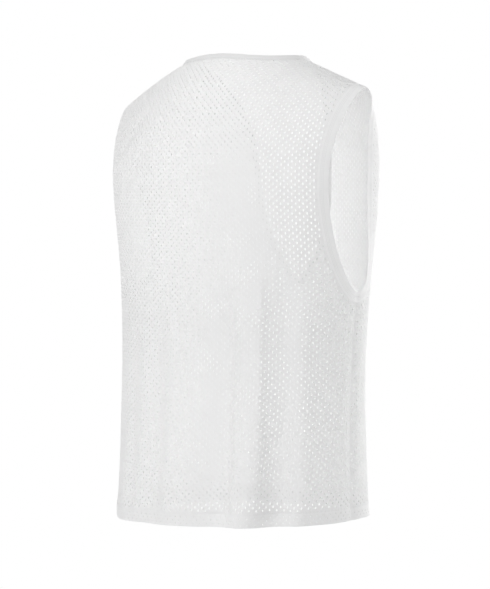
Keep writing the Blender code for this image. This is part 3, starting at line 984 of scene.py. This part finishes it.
def thread_material(name):
    """Twisted polyester thread, a little glossier than the knit."""
    made, start, output = new_material(name)
    place = start.node("TexCoord", output="Object")
    twist = start.node("TexWave", {"wave_type": "BANDS", "bands_direction": "DIAGONAL"},
                       {"Vector": place, "Scale": 900.0, "Distortion": 1.5, "Detail": 1.0},
                       output="Fac")
    bump = start.node("Bump", None, {"Strength": 0.3, "Distance": 0.0001, "Height": twist})
    shade = start.node("Mix", {"data_type": "RGBA"}, {0: twist, 6: THREAD_DULL, 7: THREAD_WHITE},
                       output=2)
    yarn = start.node("BsdfPrincipled", None, {
        "Base Color": shade, "Roughness": 0.5, "Specular IOR Level": 0.4,
        "Sheen Weight": 0.1, "Normal": bump})
    yarn.tree.links.new(yarn.output, output.inputs["Surface"])
    return made


band_knit = band_material("white_band", BAND_WHITE, BAND_DULL)
thread = thread_material("white_thread")
band_section = section(ARMHOLE_BAND, BAND_LINES, BAND_TOP, BAND_UNDER)
for side, word in ((-1, "right"), (1, "left")):
    rings, along = armhole_rings(side, band_section)
    band = strip("armhole_band_" + word + "_knit", rings, along,
                 sunk(band_section, BAND_LINES))
    band.data.materials.append(band_knit)
    seam = sewn_strip("armhole_stitches_" + word, rings, band_section, BAND_LINES)
    seam.data.materials.append(thread)
    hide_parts("armhole_band_" + word)
    for piece in (band, seam):
        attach(piece, "root")

# NECK BAND
# A narrow folded band of the same close knit stands on the neck's edge, front and back, and
# leans in a little. Its lower edge laps over the panels and is sewn down all round.

NECK_BAND = 0.0080
NECK_LIFT = 0.9
NECK_LAP = 0.0016
NECK_STEP = 0.0018
NECK_LINES = (0.0079, 0.0042)
NECK_TOP = 0.00048
NECK_UNDER = -0.00140
# Painted shade: the same band knit as the armholes', painted greyer to stand in for shade on the
# neck band
NECK_SHADED_WHITE = (0.87, 0.87, 0.87, 1.0)
NECK_SHADED_DULL = (0.84, 0.84, 0.84, 1.0)
NECK_PUCKER = 0.00010
NECK_WAVES = ((0.00012, 0.0047), (0.00010, 0.0113))
NECK_BEND = 0.0012

neck_section = section(NECK_BAND + NECK_LAP, NECK_LINES, NECK_TOP, NECK_UNDER)


def neck_rings(profile):
    """Rings round the neck, from the right neck point along the front and back behind."""
    fine = np.linspace(0, 1, 481)
    feet, leans, lays, runs, start = [], [], [], [], 0.0
    for panel in (FRONT, BACK):
        ways, at = even_ways(cloth(panel, *neck_edge(panel, fine)), fine, NECK_STEP)
        across, down = neck_edge(panel, ways)
        ahead = neck_edge(panel, np.minimum(ways + 0.003, 1.0))
        behind = neck_edge(panel, np.maximum(ways - 0.003, 0.0))
        lay = square_in(panel, across, down, ahead, behind, 1.5)
        face = unit(np.cross(*slopes(panel, across, down)))
        lift = np.zeros_like(lay)
        lift[:, 2] = NECK_LIFT * face[:, 2] ** 2
        foot = cloth(panel, across, down)
        keep = slice(None, -1) if panel == FRONT else slice(None, 0, -1)
        feet.append(foot[keep])
        leans.append(unit(lift - lay)[keep])
        lays.append(lay[keep])
        runs.append(at[:-1] if panel == FRONT else start + (at[-1] - at[:0:-1]))
        start = at[-1] if panel == FRONT else start + at[-1]
    feet, leans, lays = (np.concatenate(part) for part in (feet, leans, lays))
    runs = np.concatenate(runs + [np.array((start,))])
    along = unit(np.roll(feet, -1, axis=0) - np.roll(feet, 1, axis=0))
    away = (feet - feet.mean(axis=0)) * (1.0, 1.0, 0.0)
    normals = []
    for way in (leans, -lays):
        normal = unit(np.cross(along, way))
        normals.append(normal * np.sign((normal * away).sum(axis=1, keepdims=True) + 1e-9))
    ripple = NECK_PUCKER * np.sin(2 * math.pi * runs[:-1] / STITCH_STEP)
    for size, length in NECK_WAVES:
        ripple = ripple + size * np.sin(runs[:-1] / length)
    rings = np.empty((len(feet), len(profile), 3))
    for k, (mark, high) in enumerate(profile):
        run = NECK_BAND - mark
        blend = float(smooth((run + NECK_BEND) / (2 * NECK_BEND)))
        normal = unit(normals[0] * blend + normals[1] * (1 - blend))
        way = leans * max(run, 0.0) + lays * max(-run, 0.0)
        rings[:, k] = feet + way + normal * (high + ripple * np.sign(high + 0.0005))[:, None]
    return rings, runs


rings, along = neck_rings(neck_section)
neck_band = strip("neck_band_knit", rings, along, sunk(neck_section, NECK_LINES))
# The neck band's material is the band knit with painted shade, greyer than the armhole bands
neck_band.data.materials.append(band_material("shaded_white_neck_band", NECK_SHADED_WHITE, NECK_SHADED_DULL))
neck_seam = sewn_strip("neck_stitches", rings, neck_section, NECK_LINES[:1])
neck_seam.data.materials.append(thread)
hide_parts("neck_band")
for piece in (neck_band, neck_seam):
    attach(piece, "root")

# HEMS
# The lower edge of each panel is turned up inside once and sewn down. The holes of its two
# layers seldom meet, so little shows through it.

HEM_TOP = 0.00040
HEM_UNDER = -0.00070
HEM_OPEN = 0.72
HEM_THROUGH = 0.08
HEM_WALL = 0.00038
HEM_LINES = (0.0192, 0.0176)
HEM_TURN = (HEM_TOP - HEM_UNDER) / 2
HEM_LINE_HALF = 0.0006
HEM_DIP = 0.00030
HEM_RIPPLE = 0.00014
RIPPLE_LENGTH = 0.00095
RIPPLE_FADE = 0.004
EASE_FROM = 0.0196
EASE_OVER = 0.0014
HEM_EDGE = 0.00006
HEM_LIFT = 0.0007
HEM_WAVES = ((0.5, 0.021, 1), (0.25, 0.0083, 0))
LIFT_FADE = 0.012
HEM_SHORT = 0.0001
INSIDE_SHORT = 0.0012
HEM_SPACING = 0.0030
BEND_SHARES = (-1.0, -0.5, 0.0, 0.5, 1.0)
BEND_POINTS = 200
LINE_POINTS = 380
EDGE_LINE = 0.0007
EDGE_CLEAR = 0.0002
OUTSIDE_FROM = 0.004
THREAD_SINK = 0.00022


def hem_place(panel, measure, aside, past):
    """A place on the turned strip: past the fold by a length, up outside or (-) inside."""
    across = np.clip(aside / measure.asides[-1, 0], -1.0, 1.0)
    quarter = HEM_TURN * math.pi / 2
    turn = np.clip(past / HEM_TURN, -math.pi / 2, math.pi / 2)
    straight = np.maximum(np.abs(past) - quarter, 0.0)
    high = (HEM_TOP + HEM_UNDER) / 2 + HEM_TURN * np.sin(turn)
    above = HEM_TURN * (1 - np.cos(turn)) + straight
    for line in HEM_LINES:
        high = high - np.sign(past) * HEM_DIP * np.exp(-((above - line) / HEM_LINE_HALF) ** 2)
    ripple = HEM_RIPPLE * np.sin(aside / RIPPLE_LENGTH)
    ripple = ripple * np.exp(-((above - HEM_LINES[0]) / RIPPLE_FADE) ** 2)
    ease = smooth((above - EASE_FROM) / EASE_OVER)
    high = np.where(past > 0, high * (1 - ease) + HEM_EDGE * ease, high) + ripple
    wave = HEM_LIFT * sum(share * np.sin(aside / length + turn * panel)
                          for share, length, turn in HEM_WAVES)
    down = hem_down(panel, across, above)
    return cloth(panel, across, down, proud=high + wave * np.exp(-above / LIFT_FADE))


def hem_strip(name, panel, seed):
    """One turned hem of pierced cloth."""
    measure = Flat(panel)
    half = measure.asides[-1, 0]
    top, low = HEM_BAND - HEM_SHORT, INSIDE_SHORT - HEM_BAND
    corners = np.array(((-half, low), (half, low), (half, top), (-half, top), (-half, low)))
    loop = closed_line([corners[k:k + 2] for k in range(4)], HEM_SPACING)
    quarter = HEM_TURN * math.pi / 2
    lines = [(BEND_POINTS, share * quarter) for share in BEND_SHARES]
    for mark in HEM_LINES + (HEM_BAND - EDGE_LINE,):
        lines += [(LINE_POINTS, past)
                  for past in (mark, mark - HEM_LINE_HALF, mark + HEM_LINE_HALF)
                  if past < top - EDGE_CLEAR]
    extra = np.concatenate([np.stack((np.linspace(-half, half, count)[1:-1],
                                      np.full(count - 2, past)), axis=1)
                            for count, past in lines])
    across = np.linspace(-1, 1, 9)
    level = float(np.mean(measure.flat(across, hem_down(panel, across, 0.0))[:, 1]))
    flat, faces = pierced(loop, seed, extra, level, HEM_OPEN)
    points = hem_place(panel, measure, flat[:, 0], flat[:, 1])
    outer = np.array([flat[f[0], 1] > OUTSIDE_FROM for f in faces])
    return shell(name, points, facing_out(points, faces, outer), flat, HEM_WALL)


hem_knit = knit_material("white_hem_knit", HEM_THROUGH)
for panel, word, seed in ((BACK, "back", 21), (FRONT, "front", 22)):
    hem = hem_strip("hem_" + word + "_knit", panel, seed)
    hem.data.materials.append(hem_knit)
    across = np.linspace(-1, 1, 400)
    lines = []
    for mark in HEM_LINES:
        for high, sign in ((HEM_TOP - THREAD_SINK, 1), (HEM_UNDER + THREAD_SINK, -1)):
            down = hem_down(panel, across, mark)
            points = cloth(panel, across, down, proud=high)
            lines.append((points, outward(panel, across * 0.999, down) * sign))
    hem_seam = sewn("hem_stitches_" + word, lines)
    hem_seam.data.materials.append(thread)
    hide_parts("hem_" + word)
    for piece in (hem, hem_seam):
        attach(piece, "root")

# STUDIO
# A plain pale floor lies well below the bib. White air and large soft lamps light it from all
# round, the strongest of those behind it from the left of the camera. The ones in front and
# a small one inside it light its inside, as the cloth lets some of their light through.

FLOOR_HEIGHT = -1.45
FLOOR_RADIUS = 2.6
bpy.ops.mesh.primitive_circle_add(vertices=96, radius=FLOOR_RADIUS, fill_type="NGON",
                                  location=(0, 0, FLOOR_HEIGHT))
floor = bpy.context.object
floor.name = "floor"
floor_paint, start, output = new_material("pale_floor")
matt = start.node("BsdfPrincipled", None, {
    "Base Color": (0.93, 0.93, 0.93, 1.0), "Roughness": 0.9, "Specular IOR Level": 0.1})
matt.tree.links.new(matt.output, output.inputs["Surface"])
floor.data.materials.append(floor_paint)

# The camera sees the air as plain white, brighter than it is as a light
AIR_LIGHT = 0.28
AIR_SEEN = 1.0
world = bpy.data.worlds.new("studio")
bpy.context.scene.world = world
world.use_nodes = True
world.node_tree.nodes.clear()
air = Socket(world.node_tree, None)
dim = air.node("Background", None, {"Color": (1.0, 1.0, 1.0, 1.0), "Strength": AIR_LIGHT})
plain = air.node("Background", None, {"Color": (1.0, 1.0, 1.0, 1.0), "Strength": AIR_SEEN})
seen = air.node("LightPath", output="Is Camera Ray")
backdrop = air.node("MixShader", None, {0: seen, 1: dim, 2: plain})
air_output = world.node_tree.nodes.new("ShaderNodeOutputWorld")
world.node_tree.links.new(backdrop.output, air_output.inputs["Surface"])

# One row for each lamp: which way it stands from the bib, how high, and its power in watts
LAMP_DISTANCE = 2.4
LAMP_SIZE = 1.6
LAMP_AIM = Vector((0.0, 0.0, -0.33))
LAMPS = (
    ("front", 0, 10, 38.0),
    ("front_left", 45, 10, 38.0),
    ("front_right", 315, 10, 16.0),
    ("back_left", 130, 15, 9.5),
    ("back", 170, 18, 21.5),
    ("back_right", 240, 15, 11.5),
    ("high_back", 180, 65, 6.0),
    ("high_right", 270, 60, 6.5),
)
INNER_POWER = 0.14
INNER_SIZE = 0.07
INNER_PLACE = Vector((0.0, 0.01, -0.50))


def lamp(word, kind, power, place, size_name, size):
    """A lamp that the camera doesn't see."""
    made = bpy.data.lights.new("lamp_" + word, kind)
    setattr(made, size_name, size)
    made.energy = power
    stand = bpy.data.objects.new("lamp_" + word, made)
    bpy.context.collection.objects.link(stand)
    stand.location = place
    stand.visible_camera = False
    return stand


for word, azimuth, elevation, power in LAMPS:
    around, up = math.radians(azimuth), math.radians(elevation)
    way = Vector((math.sin(around) * math.cos(up), -math.cos(around) * math.cos(up),
                  math.sin(up)))
    stand = lamp(word, "AREA", power, LAMP_AIM + way * LAMP_DISTANCE, "size", LAMP_SIZE)
    stand.rotation_euler = (-way).to_track_quat("-Z", "Y").to_euler()
lamp("inner", "POINT", INNER_POWER, INNER_PLACE, "shadow_soft_size", INNER_SIZE)

CAMERA_PLACE = (-1.607, 1.915, -0.158)
CAMERA_AIM = (0.0011, 0.0010, -0.3407)
CAMERA_LENS = 103.45
camera_data = bpy.data.cameras.new("camera")
camera_data.lens = CAMERA_LENS
camera_data.sensor_width = 36.0
camera = bpy.data.objects.new("camera", camera_data)
bpy.context.collection.objects.link(camera)
camera.location = CAMERA_PLACE
aim = Vector(CAMERA_AIM) - Vector(CAMERA_PLACE)
camera.rotation_euler = aim.to_track_quat("-Z", "Y").to_euler()
bpy.context.scene.camera = camera
bpy.context.scene.view_settings.view_transform = "Standard"
